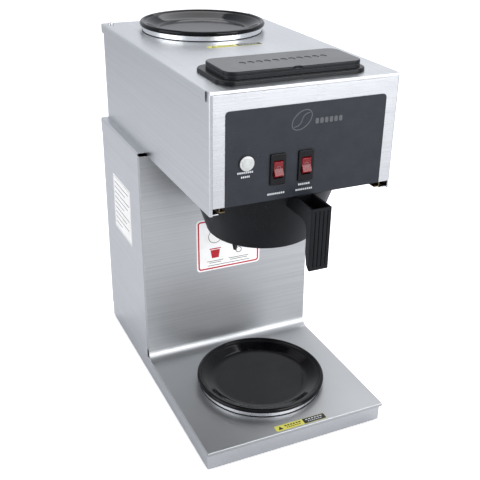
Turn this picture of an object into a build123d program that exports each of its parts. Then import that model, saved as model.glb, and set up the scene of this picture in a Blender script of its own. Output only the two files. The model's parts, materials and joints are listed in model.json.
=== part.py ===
"""Commercial pour-over coffee brewer with a lower and an upper warmer.

Millimetres, +Z up. The origin is on the counter, under the middle of the brewer.
The front faces -Y, so +X is on the operator's right.
"""
import math
import os

from build123d import *

# ---------------------------------------------------------------- overall sizes
base_width = 242.0          # base and column, across
base_depth = 394.0          # front lip to back panel
base_height = 27.0          # underside of the skirt to the deck
foot_proud = 3.0            # how far the rubber feet lift the skirt
column_top = 325.5          # ledge on top of the column side panels
head_inset = 10.5           # side of the head in from the side of the column
head_top = 455.0
head_setback = 18.0         # front panel behind the base's front lip
sheet = 1.2                 # stainless sheet, all panels
bend = 2.0                  # centre-line radius of the folded edges

# ---------------------------------------------------------------- base and column
lip = 4.5                   # turned-down edge of the deck
side_lap = 1.5              # column sides start this far below the deck
front_return = 7.0          # side flanges of the column front
skirt_setback = 4.0         # skirt behind the front lip
pan_flange = 26.0           # inward flange under the base pan
column_setback = 213.0      # foot of the column front behind the front lip
column_lean = 9.0           # how far the column front leans back at the ledge
cove_radius = 13.0          # sweep from the deck into the column front
ledge_width = 16.0          # inward flange on top of the column sides
return_flange = 15.0        # inward flange on the back edge of the side panels
ledge_relief = 5.0          # notch in front of the ledge
ledge_drop = 20.0           # depth of the strip that carries the ledge's bend
foot_radius = 9.0
foot_inset = 16.0
foot_stem = 4.0
foot_barb = 5.2
bottom_slots = 7
slot_pitch = 14.0
slot_length = 26.0
slot_width = 4.0

# ---------------------------------------------------------------- head
overhang_drop = 2.0         # overhang's bottom edge below the column ledge
cover_flange = 11.6         # turned-down sides of the top cover
cover_gap = 0.7             # between the cover's flange and the side panel
cover_relief = 10.0         # cover flange starts this far behind the front
front_lip = 3.0
panel_inset = 2.5           # front panel's side edge in from the side panel
panel_bottom = 332.5
floor_height = 334.8        # underside of the head floor
side_flange = 16.0          # inward flanges of the head sides
control_margin = 16.5       # control plate in from the side of the head
control_height = 102.0
control_thickness = 0.8
control_corner = 4.5

# ---------------------------------------------------------------- brew basket and rails
basket_setback = 122.0      # centre of the basket behind the front lip
rim_overhang = 6.5          # rim beyond the top of the basket wall
basket_bottom_radius = 66.5
basket_bottom = 252.0
basket_wall = 2.5
basket_drain_radius = 4.0
basket_foot = 8.0           # drip points under the basket
rim_thickness = 3.0
rail_shelf = 324.9          # underside of the rail's shelf
rail_clearance = 0.4        # under and beside the basket rim
rail_sheet = 1.2
rail_foot = 10.5            # width of the rail that is screwed to the head floor
handle_reach = 20.0         # grip in front of the base's front lip
handle_width = 24.5
handle_rise = 1.5           # top of the handle above the rim
handle_throat = 12.0
handle_flutes = 4
flute_width = 1.6
flute_depth = 0.9
grip_depth = 9.0
grip_bottom = 259.0
arm_depth = 17.0
trough_wall = 2.4

wire_radius = 1.25
wire_ribs = 8
wire_low = 9.0              # lower and upper ring of the rack above the basket's bottom
wire_high = 52.0

# ---------------------------------------------------------------- water basin and lid
basin_offset = -5.0         # basin and lid stand left of the middle
basin_flange_side = 6.5     # flange beyond the lid
basin_flange_front = 33.5   # behind the front lip
basin_flange_rear = 113.5
basin_flange_thickness = 4.5
basin_flange_corner = 17.0
lid_width = 160.0
lid_front = 36.5
lid_rear = 101.0
lid_height = 13.0           # top of the lid above the head
lid_corner = 12.0
lid_wall = 2.5
lid_gap = 0.2
lid_groove = 0.6            # groove round the lid's side
thumb_radius = 8.0          # thumb notch in the lid's front edge
grip_bars = 11              # sunk bars on top of the lid
bar_pitch = 9.6
bar_width = 6.4
bar_length = 9.0
bar_sink = 0.5
coaming_clearance = 1.0
coaming_corner = 6.0
basin_wall = 2.5
basin_depth = 25.0          # below the top cover

# ---------------------------------------------------------------- warmers
warmer_radii = {"lower": 84.0, "upper": 81.5}
warmer_height = 12.5
lower_warmer_setback = 110.0
upper_warmer_setback = 309.0
warmer_flat = 1.2           # underside of the flat above the panel
warmer_wall = 19.0          # sloping wall between the bead and the flat
warmer_bend = 4.0           # bend between the wall and the flat
warmer_sheet = 1.5
warmer_bead = 3.0
warmer_ring_inset = 3.4     # chromed ring inside the bead
warmer_hole_inset = 18.0
warmer_gasket = 0.8         # black washer under the ring
element_inset = 34.0
element_thickness = 5.0
strap_sheet = 1.5
strap_bend_out = 12.0       # strap's two bends in from its ends
strap_bend_in = 24.0
stud_radius = 3.0
nut_height = 5.0

# ---------------------------------------------------------------- front controls
light_inset = 23.4          # ready light in from the control plate's left edge
light_height = 378.3
light_radius = 8.1
light_collar = 0.9          # black collar between the lens and the plate
light_rim = 1.6
light_body_radius = 6.4
light_body_depth = 24.0
switch_offsets = {"warmer": -34.7, "upper_warmer": -1.6}
switch_height = 367.0
bezel_side = 1.2            # bezel beyond the switch body, each side
bezel_end = 3.0             # bezel beyond the switch body, top and bottom
bezel_proud = 2.2
switch_wall = 2.4           # sides of the switch body
switch_end_wall = 4.2       # top and bottom of the switch body
switch_depth = 24.0
rocker_width = 10.2
rocker_radius = 9.6
rocker_gap = 0.4
rocker_side_gap = 0.3
rocker_tilt = 12.0          # either side of level
rocker_pivot_depth = 4.2
rocker_crest = 4.8          # middle of the rocker's face in front of its pin
rocker_dish = 2.2           # ends of the face in front of its middle
blade_width = 6.4
blade_length = 9.0
blade_thickness = 0.8
rocker_back = 3.0           # rocker's back edge behind its pin
trunnion_radius = 1.5
trunnion_length = 1.4
trunnion_clearance = 0.06

# ---------------------------------------------------------------- tank and plumbing
tank_side_gap = 16.3        # tank flange to the inside of the head
tank_front_gap = 35.5       # tank behind the foot of the column front
tank_rear_gap = 24.3
tank_bottom = 190.0
tank_top = 385.0
tank_flange = 8.0
tank_corner = 10.0
gasket_thickness = 2.0
tank_lid_sheet = 1.5
insulation = 8.0
insulation_gap = 10.0       # blanket stops this far below the tank's rim
hose_wall = 2.0
hose_bend = 12.0
spout_length = 7.0
spout_radius = 7.0
heater_sheath = 4.0
heater_spread = 30.0
bulb_radius = 4.0
bulb_length = 90.0
capillary_radius = 1.2
shaft_radius = 3.0
shaft_clearance = 0.05
thermostat_size = 40.0
thermostat_depth = 32.0
thermostat_height = 30.0
inlet_x = 70.0
inlet_z = 70.0
inlet_bore = 5.5
inlet_bush_radius = 11.0
inlet_bush_proud = 3.0      # flange of the cord inlet behind the back panel
screw_head_radius = 3.9
screw_head = 2.4
screw_radius = 2.0
screw_length = 9.0
fit_clearance = 0.3

# ---------------------------------------------------------------- labels
label_thickness = 0.2
card_width = 94.0
card_low = 148.0
card_high = 224.0
rating_width = 78.0
rating_height = 80.0
rating_setback = 307.0
rating_middle = 219.0
hot_label_width = 69.5
hot_label_depth = 9.8
hot_label_shift = 6.3       # lower hot label right of the middle
lower_label_setback = 8.0
upper_label_setback = 205.3

# ---------------------------------------------------------------- places that follow
overall_depth = handle_reach + base_depth + inlet_bush_proud
base_front = handle_reach - overall_depth / 2
base_rear = base_front + base_depth
shell_rear = base_rear - sheet
deck_top = foot_proud + base_height
deck_edge = deck_top - lip
column_foot = base_front + column_setback
head_front = base_front + head_setback
control_front = head_front - control_thickness
side_bottom = column_top - overhang_drop
basket_y = base_front + basket_setback
lower_warmer_y = base_front + lower_warmer_setback
upper_warmer_y = base_front + upper_warmer_setback
half_base = base_width / 2
half_head = half_base - head_inset
half_head_inside = half_head - sheet
side_foot = deck_top - side_lap
cover_top = foot_proud + 2 * sheet
splash_deck_end = column_foot - cove_radius
rim_to_rails = half_head_inside - fit_clearance - rail_foot - rail_sheet / 2 - rail_clearance
rim_to_column = column_setback - basket_setback + rim_overhang
rim_radius = min(rim_to_rails, rim_to_column)
basket_top_radius = rim_radius - rim_overhang
shelf_top = rail_shelf + rail_sheet
rim_bottom = shelf_top + rail_clearance
rim_top = rim_bottom + rim_thickness
half_tank = half_head_inside - tank_flange - tank_side_gap
tank_front = column_foot + tank_front_gap
tank_rear = shell_rear - tank_rear_gap
tank_y = (tank_front + tank_rear) / 2
tank_lid_bottom = tank_top + gasket_thickness
tank_lid_top = tank_lid_bottom + tank_lid_sheet
basin_floor = head_top - basin_depth
control_width = 2 * (half_head - control_margin)
light_offset = light_inset - control_width / 2
switch_body_width = rocker_width + 2 * rocker_side_gap + 2 * switch_wall
switch_body_height = 2 * (rocker_radius + rocker_gap + switch_end_wall)
bezel_width = switch_body_width + 2 * bezel_side
bezel_height = switch_body_height + 2 * bezel_end


def column_front_at(height):
    """Y of the column's front face at a height."""
    return column_foot + column_lean * (height - deck_top) / (column_top - deck_top)


def warmer_hole_radius(name):
    return warmer_radii[name] - warmer_hole_inset


# ---------------------------------------------------------------- shape helpers
def block(x0, x1, y0, y1, z0, z1):
    middle = Pos((x0 + x1) / 2, (y0 + y1) / 2, (z0 + z1) / 2)
    return middle * Box(x1 - x0, y1 - y0, z1 - z0)


def rounded_block(x0, x1, y0, y1, z0, z1, corner):
    outline = Pos((x0 + x1) / 2, (y0 + y1) / 2) * RectangleRounded(x1 - x0, y1 - y0, corner)
    return extrude(Plane.XY.offset(z0) * outline, z1 - z0)


def rod(radius, start, end):
    run = Vector(*end) - Vector(*start)
    plane = Plane(origin=start, z_dir=run)
    return plane * Cylinder(radius, run.length, align=(Align.CENTER, Align.CENTER, Align.MIN))


def pipe(radius, points, corner):
    path = FilletPolyline(*points, radius=corner)
    return sweep(Plane(origin=path @ 0, z_dir=path % 0) * Circle(radius), path)


def turned(points, x, y, z=0.0):
    """Solid of revolution about a vertical axis; points are (radius, height)."""
    profile = Plane.XZ * make_face(Polyline(*points, close=True))
    return Pos(x, y, z) * revolve(profile, Axis.Z)


def turned_to_front(points, x, y, z):
    """Solid of revolution about a front-to-back axis; points are (radius, depth)."""
    profile = Plane.XY * make_face(Polyline(*points, close=True))
    return Pos(x, y, z) * revolve(profile, Axis.Y)


def side_plate(points, x0, x1):
    """Flat plate in the YZ plane, from x0 to x1; points are (y, z)."""
    outline = Plane.YZ.offset(x0) * make_face(Polyline(*points, close=True))
    return extrude(outline, x1 - x0)


def bent_strip(points, radius, thickness):
    """Section of a folded sheet along its centre line."""
    return trace(FilletPolyline(*points, radius=radius), line_width=thickness)


def mirrored(shape):
    return mirror(shape, Plane.YZ)


def hexagon_nut(across, bore, z0, z1, x, y):
    outline = RegularPolygon(across / 2, 6, major_radius=False) - Circle(bore)
    return Pos(x, y, z0) * extrude(outline, z1 - z0)


nodes = {}


# ---------------------------------------------------------------- base
pan_outer = half_base - sheet
pan_front = base_front + skirt_setback
pan_top = deck_top - sheet


def feet_places():
    for x in (-pan_outer + foot_inset, pan_outer - foot_inset):
        for y in (pan_front + foot_inset, shell_rear - foot_inset):
            yield x, y


def make_base_pan():
    outside = block(-pan_outer, pan_outer, pan_front, shell_rear, foot_proud, pan_top)
    inside = block(-pan_outer + sheet, pan_outer - sheet, pan_front + sheet, shell_rear - sheet,
                   foot_proud + sheet, pan_top)
    window = block(-pan_outer + pan_flange, pan_outer - pan_flange, pan_front + pan_flange,
                   shell_rear - pan_flange, foot_proud, foot_proud + sheet)
    pan = outside - inside - window
    for x, y in feet_places():
        pan -= Pos(x, y, foot_proud) * Cylinder(foot_stem, 3 * sheet)
    for x, y in bottom_screw_places():
        pan -= Pos(x, y, foot_proud) * Cylinder(screw_radius, 3 * sheet)
    return pan


def bottom_screw_places():
    inset = pan_flange / 2
    for x in (-pan_outer + inset, pan_outer - inset):
        yield x, (pan_front + shell_rear) / 2
    for y in (pan_front + inset, shell_rear - inset):
        yield 0.0, y


def make_bottom_cover():
    edge = sheet + fit_clearance
    cover = block(-pan_outer + edge, pan_outer - edge, pan_front + edge, shell_rear - edge,
                  foot_proud + sheet, cover_top)
    for x, y in feet_places():
        cover -= Pos(x, y, cover_top) * Cylinder(foot_stem, 3 * sheet)
    for x, y in bottom_screw_places():
        cover -= Pos(x, y, cover_top) * Cylinder(screw_radius, 3 * sheet)
    half_slots = 45.0
    for row in range(bottom_slots):
        y = lower_warmer_y + slot_pitch * (row - (bottom_slots - 1) / 2)
        cover -= block(-half_slots, half_slots, y - slot_width / 2, y + slot_width / 2,
                       foot_proud, cover_top + sheet)
    return cover


def make_feet():
    tip = cover_top + 3
    profile = [(0, 0), (foot_radius - 1.5, 0), (foot_radius, foot_proud), (foot_stem, foot_proud),
               (foot_stem, cover_top), (foot_barb, cover_top), (foot_stem - 1, tip), (0, tip)]
    return Compound([turned(profile, x, y) for x, y in feet_places()])


nodes["base_pan"] = make_base_pan()
nodes["bottom_cover"] = make_bottom_cover()
nodes["feet"] = make_feet()


# ---------------------------------------------------------------- splash panel
def front_strip(depth, bottom, top):
    """Outline, from the side, of a strip behind the leaning front of the column."""
    front_low = column_front_at(bottom)
    front_high = column_front_at(top)
    return [(front_low, bottom), (front_high, top), (front_high + depth, top), (front_low + depth, bottom)]


def make_splash_panel():
    """One bent sheet: deck, cove and the leaning front of the column with its side flanges."""
    half = sheet / 2
    neck = half_head_inside - fit_clearance
    neck_bottom = side_bottom - fit_clearance
    corner = (column_foot + half, deck_top - half)
    panel_top = floor_height - fit_clearance
    top_end = (column_front_at(panel_top) + half, panel_top)
    centre_line = [(base_front + sheet, deck_top - half), corner, top_end]
    section = bent_strip(centre_line, cove_radius, sheet)
    panel = Pos(-half_base, 0, 0) * extrude(Plane.YZ * section, base_width)
    flange_bottom = deck_top + cove_radius
    for x0 in (-half_base, half_base - sheet):
        panel += side_plate(front_strip(front_return, flange_bottom, neck_bottom), x0, x0 + sheet)
    for x0, x1 in ((-half_base - 1, -neck), (neck, half_base + 1)):
        panel -= block(x0, x1, column_foot, column_foot + 2 * cove_radius, neck_bottom, floor_height + 1)
    panel += block(-half_base, half_base, base_front, base_front + sheet, deck_edge, deck_top)
    for x0 in (-half_base, half_base - sheet):
        panel += block(x0, x0 + sheet, base_front, splash_deck_end, deck_edge, deck_top)
    front_edge = panel.edges().filter_by(Axis.X).filter_by_position(Axis.Y, base_front - 1, base_front + 0.1)
    panel = fillet(front_edge.group_by(Axis.Z)[-1], 0.8)
    panel -= Pos(0, lower_warmer_y, deck_top) * Cylinder(warmer_hole_radius("lower"), 4 * sheet)
    return panel


nodes["splash_panel"] = make_splash_panel()


# ---------------------------------------------------------------- column sides and back
def make_column_side():
    """Right-hand panel: side, ledge on top, return flange at the back."""
    half = sheet / 2
    outer = half_base - half
    inner_limit = half_base - return_flange - 1
    rear = shell_rear - half
    plan = bent_strip([(half_base - return_flange, rear), (outer, rear), (outer, column_foot)], bend, sheet)
    wall = Pos(0, 0, side_foot) * extrude(plan, column_top - side_foot)
    behind_flange = front_return + fit_clearance
    front_line = [(column_front_at(side_foot) + behind_flange, side_foot),
                  (column_front_at(column_top) + behind_flange, column_top),
                  (shell_rear, column_top), (shell_rear, side_foot)]
    wall &= side_plate(front_line, inner_limit, half_base)
    wall -= block(inner_limit, half_base - sheet, shell_rear - 2 * sheet, shell_rear, side_foot, deck_top)
    ledge_section = bent_strip([(half_base - ledge_width, column_top - half), (outer, column_top - half),
                                (outer, column_top - ledge_drop)], bend, sheet)
    ledge_start = column_front_at(column_top) + behind_flange
    wall -= block(inner_limit, half_base + 1, ledge_start, shell_rear + 1,
                  column_top - ledge_drop + 1, column_top + 1)
    ledge = Plane.XZ.offset(-shell_rear) * ledge_section
    return with_rear_screw_holes(wall + extrude(ledge, shell_rear - ledge_start))


def with_rear_screw_holes(panel):
    for x, z in rear_screw_places():
        panel -= rod(screw_radius, (x, shell_rear - 2 * sheet, z), (x, shell_rear + 1, z))
    return panel


def rear_screw_places():
    """Three pairs of screws into the column sides and one into the head sides."""
    column_x = half_base - return_flange / 2 - 1
    head_x = half_head - side_flange / 2 - 1
    for side in (-1, 1):
        for height in (deck_top + 15, deck_top + 150, column_top - 15.5):
            yield side * column_x, height
        yield side * head_x, head_top - 30


def make_rear_panel():
    half_lower = half_base - 1.0
    half_upper = half_head - 0.6
    panel = block(-half_lower, half_lower, shell_rear, base_rear, deck_edge, column_top)
    panel += block(-half_upper, half_upper, shell_rear, base_rear, column_top, head_top - sheet)
    for x, z in rear_screw_places():
        panel -= rod(screw_radius, (x, shell_rear - 1, z), (x, base_rear + 1, z))
    panel -= rod(inlet_bush_radius, (inlet_x, shell_rear - 1, inlet_z), (inlet_x, base_rear + 1, inlet_z))
    slot = SlotCenterToCenter(slot_length, slot_width, rotation=90)
    for column in range(-3, 4):
        for height in (deck_top + 70, head_top - 50):
            cutter = Plane.XZ.offset(-base_rear - 1) * Pos(slot_pitch * column, height) * slot
            panel -= extrude(cutter, 2 + sheet)
    return panel


nodes["column_side_right"] = make_column_side()
nodes["column_side_left"] = mirrored(nodes["column_side_right"])
nodes["rear_panel"] = make_rear_panel()


# ---------------------------------------------------------------- head sides and floor
def make_head_side():
    """Right-hand panel: side, front flange behind the front panel, back and bottom flanges."""
    half = sheet / 2
    outer = half_head - half
    front = head_front + sheet + half
    rear = shell_rear - half
    flange_edge = half_head - side_flange
    plan = bent_strip([(flange_edge, front), (outer, front), (outer, rear), (flange_edge, rear)], bend, sheet)
    wall = Pos(0, 0, side_bottom) * extrude(plan, head_top - sheet - side_bottom)
    behind = column_front_at(column_top) - 1
    wall -= block(0, half_head + 1, behind, base_rear, side_bottom - 1, column_top)
    wall -= block(0, half_head - bend - sheet, head_front, head_front + 10, side_bottom - 1, panel_bottom)
    bottom = block(half_head - 11, half_head - half, front + bend, behind - fit_clearance,
                   side_bottom, side_bottom + sheet)
    return with_rear_screw_holes(wall + bottom)


def make_head_floor():
    edge = half_head_inside - fit_clearance
    rear = column_front_at(floor_height) + sheet + 10
    floor = block(-edge, edge, head_front + 2 * sheet + bend, rear,
                  floor_height, floor_height + sheet)
    for x0 in (-edge, edge - sheet):
        floor += block(x0, x0 + sheet, head_front + 22, rear, floor_height, floor_height + 12)
    floor -= Pos(0, basket_y, floor_height) * Cylinder(spout_radius + fit_clearance, 4 * sheet)
    for x, y in rail_screw_places():
        floor -= Pos(x, y, floor_height) * Cylinder(screw_radius, 4 * sheet)
    return floor


rail_web = rim_radius + rail_clearance
rail_lip = 1.3              # gap between the basket wall and the rail's shelf
rail_screw_inset = 18.0
rail_front = head_front + 2 * sheet + bend
rail_rear = column_front_at(column_top) - 3


def rail_screw_places():
    x = rail_web + rail_sheet + rail_foot / 2
    for side in (-x, x):
        for y in (rail_front + rail_screw_inset, rail_rear - rail_screw_inset):
            yield side, y


def make_rail():
    """Right-hand Z-shaped rail that the basket rim slides in."""
    half = rail_sheet / 2
    inner = basket_top_radius + rail_lip
    outer = half_head_inside - fit_clearance
    web = rail_web + half
    top = floor_height - half
    section = bent_strip([(inner, rail_shelf + half), (web, rail_shelf + half), (web, top), (outer, top)],
                         1.0, rail_sheet)
    rail = extrude(Plane.XZ.offset(-rail_rear) * section, rail_rear - rail_front)
    for x, y in rail_screw_places():
        rail -= Pos(x, y, top) * Cylinder(screw_radius, 3 * sheet)
    stop = block(inner, web, rail_rear - rail_sheet, rail_rear, rail_shelf, rim_top)
    return rail + stop


nodes["head_side_right"] = make_head_side()
nodes["head_side_left"] = mirrored(nodes["head_side_right"])
nodes["head_floor"] = make_head_floor()
nodes["basket_rail_right"] = make_rail()
nodes["basket_rail_left"] = mirrored(nodes["basket_rail_right"])


# ---------------------------------------------------------------- front panel and control plate
def control_cutouts(y0, y1):
    """Round hole for the ready light and square ones for the two switches."""
    cutters = rod(light_body_radius, (light_offset, y0, light_height), (light_offset, y1, light_height))
    for offset in switch_offsets.values():
        cutters += block(offset - switch_body_width / 2, offset + switch_body_width / 2, y0, y1,
                         switch_height - switch_body_height / 2, switch_height + switch_body_height / 2)
    return cutters


def make_front_panel():
    half = half_head - panel_inset
    top = head_top - front_lip - fit_clearance
    panel = block(-half, half, head_front, head_front + sheet, panel_bottom, top)
    upright = panel.edges().filter_by(Axis.Z).group_by(Axis.Y)[0]
    panel = fillet(upright, 0.7)
    return panel - control_cutouts(head_front - 1, head_front + sheet + 1)


def make_control_plate():
    half = control_width / 2
    plate = block(-half, half, control_front, head_front, panel_bottom, panel_bottom + control_height)
    corners = plate.edges().filter_by(Axis.Y).group_by(Axis.Z)[-1]
    plate = fillet(corners, control_corner)
    return plate - control_cutouts(control_front - 1, head_front + 1)


nodes["front_panel"] = make_front_panel()
nodes["control_plate"] = make_control_plate()


# ---------------------------------------------------------------- top cover
basin_mid_y = base_front + (lid_front + lid_rear) / 2
coaming_length = lid_rear - lid_front - 2 * lid_wall - coaming_clearance
coaming_width = lid_width - 2 * lid_wall - 2 * coaming_clearance
spout_x = basin_offset - coaming_width / 2 + 21.5
basin_hole_width = coaming_width + 2 * fit_clearance
basin_hole_length = coaming_length + 2 * fit_clearance


def make_top_cover():
    outer = half_head + cover_gap + sheet
    rear_outer = base_rear + fit_clearance + sheet
    flange_bottom = head_top - cover_flange
    start = head_front + cover_relief
    shell = block(-outer, outer, start, rear_outer, flange_bottom, head_top)
    shell = fillet(shell.edges().filter_by(Axis.Y).group_by(Axis.Z)[-1], bend)
    shell = fillet(shell.edges().filter_by(Axis.X).group_by(Axis.Z)[-1].sort_by(Axis.Y)[-1], bend - 0.2)
    hollow = block(-outer + sheet, outer - sheet, start - 1, rear_outer - sheet,
                   flange_bottom - 1, head_top - sheet)
    nose = block(-half_head, half_head, head_front, start + 1, head_top - front_lip, head_top)
    nose = fillet(nose.edges().filter_by(Axis.X).group_by(Axis.Z)[-1].sort_by(Axis.Y)[0], 1.6)
    nose_hollow = block(-half_head - 1, half_head + 1, head_front + sheet, start + 1,
                        head_top - front_lip - 1, head_top - sheet)
    cover = (shell - hollow) + (nose - nose_hollow)
    cover -= rounded_block(basin_offset - basin_hole_width / 2, basin_offset + basin_hole_width / 2,
                           basin_mid_y - basin_hole_length / 2, basin_mid_y + basin_hole_length / 2,
                           head_top - 3, head_top + 1, 6)
    cover -= Pos(0, upper_warmer_y, head_top) * Cylinder(warmer_hole_radius("upper"), 4 * sheet)
    for x, y in cover_screw_places():
        cover -= Pos(x, y, head_top) * Cylinder(screw_radius, 4 * sheet)
    return cover


def cover_screw_places():
    x = half_head - 8.1
    y = base_rear - 12.7
    yield -x, y
    yield x, y


nodes["top_cover"] = make_top_cover()


# ---------------------------------------------------------------- brew basket
def basket_radius_at(height):
    share = (height - basket_bottom) / (rim_bottom - basket_bottom)
    return basket_bottom_radius + share * (basket_top_radius - basket_bottom_radius)


def make_handle():
    """Hooked handle: an open trough running forward, then a fluted grip hanging down."""
    front = base_front - handle_reach
    top = rim_top + handle_rise
    arm_bottom = top - arm_depth
    root = basket_y - basket_radius_at(arm_bottom) + 2
    outline = Polyline(
        (front, top), (front, grip_bottom), (front + 6, grip_bottom + 6),
        (front + grip_depth, grip_bottom + 20), (front + grip_depth, arm_bottom),
        (root, arm_bottom), (root, top), close=True)
    half = handle_width / 2
    handle = extrude(Plane.YZ.offset(-half) * make_face(outline), handle_width)
    throat = handle.edges().filter_by(Axis.X).sort_by_distance((0, front + grip_depth, arm_bottom))[0]
    handle = fillet(throat, handle_throat)
    front_corners = handle.edges().filter_by(Axis.Z).group_by(Axis.Y)[0]
    handle = fillet(front_corners, 1.2)
    trough_back = head_front + 1
    handle -= block(-half + trough_wall, half - trough_wall, front + trough_wall, trough_back,
                    arm_bottom + trough_wall, top + 1)
    for index in range(handle_flutes):
        x = handle_width * ((index + 1) / (handle_flutes + 1) - 0.5)
        handle -= block(x - flute_width / 2, x + flute_width / 2, front - 1, front + flute_depth,
                        grip_bottom + 4, top - 3)
    return handle


def make_basket():
    outer = [(0, basket_bottom), (basket_bottom_radius - 1.5, basket_bottom),
             (basket_bottom_radius, basket_bottom + 1.5), (basket_top_radius, rim_bottom),
             (rim_radius, rim_bottom), (rim_radius, rim_top), (0, rim_top)]
    body = turned(outer, 0, basket_y)
    for angle in (90, 215, 325):
        reach = basket_bottom_radius - 5
        tip = basket_bottom - basket_foot
        foot = Plane.XZ * make_face(Polyline((reach - 6, basket_bottom + 1), (reach + 4, basket_bottom + 1),
                                             (reach + 1, tip), (reach - 1, tip), close=True))
        body += Pos(0, basket_y, 0) * Rot(0, 0, angle) * extrude(foot, 1.5, both=True)
    body += make_handle()
    inner_top = basket_top_radius - basket_wall + 1.2
    floor_edge = basket_bottom_radius - basket_wall
    floor = basket_bottom + basket_wall
    cavity = [(0, floor), (basket_drain_radius + 4, floor), (floor_edge, floor + 3.5), (inner_top, rim_top),
              (inner_top + 0.5, rim_top + 3), (0, rim_top + 3)]
    body -= turned(cavity, 0, basket_y)
    body -= Pos(0, basket_y, basket_bottom) * Cylinder(basket_drain_radius, 20)
    return body


def make_wire_basket():
    """Wire rack that keeps the paper filter off the basket wall."""
    low = basket_bottom + wire_low
    high = basket_bottom + wire_high
    low_radius = basket_radius_at(low) - basket_wall - 6
    high_radius = basket_radius_at(high) - basket_wall - 3
    rack = Pos(0, basket_y, low) * Torus(low_radius, wire_radius)
    rack += Pos(0, basket_y, high) * Torus(high_radius, wire_radius)
    rib = 0.96 * wire_radius
    for index in range(wire_ribs):
        angle = 2 * math.pi * (index + 0.5) / wire_ribs
        across = math.cos(angle)
        along = math.sin(angle)
        foot = (low_radius * across, basket_y + low_radius * along, low)
        head = (high_radius * across, basket_y + high_radius * along, high)
        rack += rod(rib, (0.4 * across, basket_y + 0.4 * along, low), foot)
        rack += Pos(*foot) * Sphere(0.98 * wire_radius)
        rack += rod(rib, foot, head)
    return rack


nodes["brew_basket"] = make_basket()
nodes["wire_basket"] = make_wire_basket()


# ---------------------------------------------------------------- water basin and lid
def offset_block(half_width, y0, y1, z0, z1, corner):
    """Rounded block centred on the basin's own middle line."""
    return rounded_block(basin_offset - half_width, basin_offset + half_width, y0, y1, z0, z1, corner)


def make_basin():
    flange_top = head_top + basin_flange_thickness
    flange = offset_block(lid_width / 2 + basin_flange_side, base_front + basin_flange_front,
                          base_front + basin_flange_rear, head_top, flange_top, basin_flange_corner)
    flange = fillet(flange.edges().group_by(Axis.Z)[-1], 1.8)
    width = coaming_width / 2
    length = coaming_length / 2
    coaming_top = head_top + lid_height - lid_wall - 2.5
    front = basin_mid_y - length
    rear = basin_mid_y + length
    body = flange + offset_block(width, front, rear, basin_floor, coaming_top, 5.5)
    body -= offset_block(width - basin_wall, front + basin_wall, rear - basin_wall, basin_floor + basin_wall,
                         coaming_top + 1, 4)
    x, y = spout_x, basin_mid_y
    body += rod(spout_radius, (x, y, basin_floor + 1), (x, y, basin_floor - spout_length))
    body -= rod(spout_radius - hose_wall, (x, y, basin_floor + 5), (x, y, basin_floor - spout_length - 1))
    return body


def make_basin_lid():
    half = lid_width / 2
    front = base_front + lid_front
    rear = base_front + lid_rear
    bottom = head_top + basin_flange_thickness + lid_gap
    top = head_top + lid_height
    middle = (bottom + top) / 2 - 0.5
    lid = offset_block(half, front, rear, bottom, top, lid_corner)
    lid = fillet(lid.edges().group_by(Axis.Z)[-1], 1.6)
    band = offset_block(half + 1, front - 1, rear + 1, middle, middle + 2 * lid_groove, lid_corner + 1)
    band -= offset_block(half - lid_groove, front + lid_groove, rear - lid_groove, middle - 1, top,
                         lid_corner - lid_groove)
    lid -= band
    lid -= offset_block(half - lid_wall, front + lid_wall, rear - lid_wall, bottom - 1, top - lid_wall,
                        coaming_corner)
    lid -= Pos(basin_offset, front - thumb_radius + 2.2, middle + 2) * Cylinder(
        thumb_radius, 20, align=(Align.CENTER, Align.CENTER, Align.MIN))
    bar = SlotOverall(bar_length, bar_width, rotation=90)
    for index in range(grip_bars):
        x = basin_offset + bar_pitch * (index - (grip_bars - 1) / 2)
        lid -= Pos(x, (front + rear) / 2, top - bar_sink) * extrude(bar, 2 * bar_sink)
    nub = block(basin_offset - 5, basin_offset + 5, rear - 2, rear + 4, bottom, bottom + 5.5)
    nub = fillet(nub.edges().filter_by(Axis.Z).group_by(Axis.Y)[-1], 2)
    return lid + nub


nodes["basin"] = make_basin()
nodes["basin_lid"] = make_basin_lid()


# ---------------------------------------------------------------- warmers
def make_warmer_plate(radius, y, level):
    """Dished plate with a rolled bead, a sloping wall and a flat, and the stud that pulls it down."""
    low = warmer_flat + warmer_sheet / 2
    bead_radius = radius - warmer_bead
    bead_height = warmer_height - warmer_bead
    centre_line = [(0.01, low), (bead_radius - warmer_wall, low), (bead_radius - 1, bead_height + 1.5)]
    section = trace(FilletPolyline(*centre_line, radius=warmer_bend), line_width=warmer_sheet)
    section += Pos(bead_radius, bead_height) * Circle(warmer_bead)
    section &= Pos(radius, 0) * Rectangle(2 * radius, 4 * warmer_height)
    plate = revolve(Plane.XZ * section, Axis.Z)
    plate += rod(0.5, (0, 0, warmer_flat), (0, 0, warmer_flat + warmer_sheet))
    plate += rod(stud_radius, (0, 0, warmer_flat + 0.5), (0, 0, -15))
    return Pos(0, y, level) * plate


def make_warmer_ring(radius, y, level):
    """Chromed band under the bead, with the inner flange that it stands on."""
    outer = radius - warmer_ring_inset
    low = warmer_gasket
    top = warmer_height - 2 * warmer_bead - 0.15
    inner = outer - sheet
    flange = radius - warmer_hole_inset + 4
    profile = [(flange, low), (outer, low), (outer, top), (inner, top), (inner, low + sheet),
               (flange, low + sheet)]
    return turned(profile, 0, y, level)


def make_warmer_gaskets():
    gaskets = []
    for name, y, level in warmer_places():
        radius = warmer_radii[name]
        outer = radius - warmer_ring_inset + 0.5
        inner = radius - warmer_hole_inset + 4
        gaskets.append(Pos(0, y, level) * extrude(Circle(outer) - Circle(inner), warmer_gasket))
    return Compound(gaskets)


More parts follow.
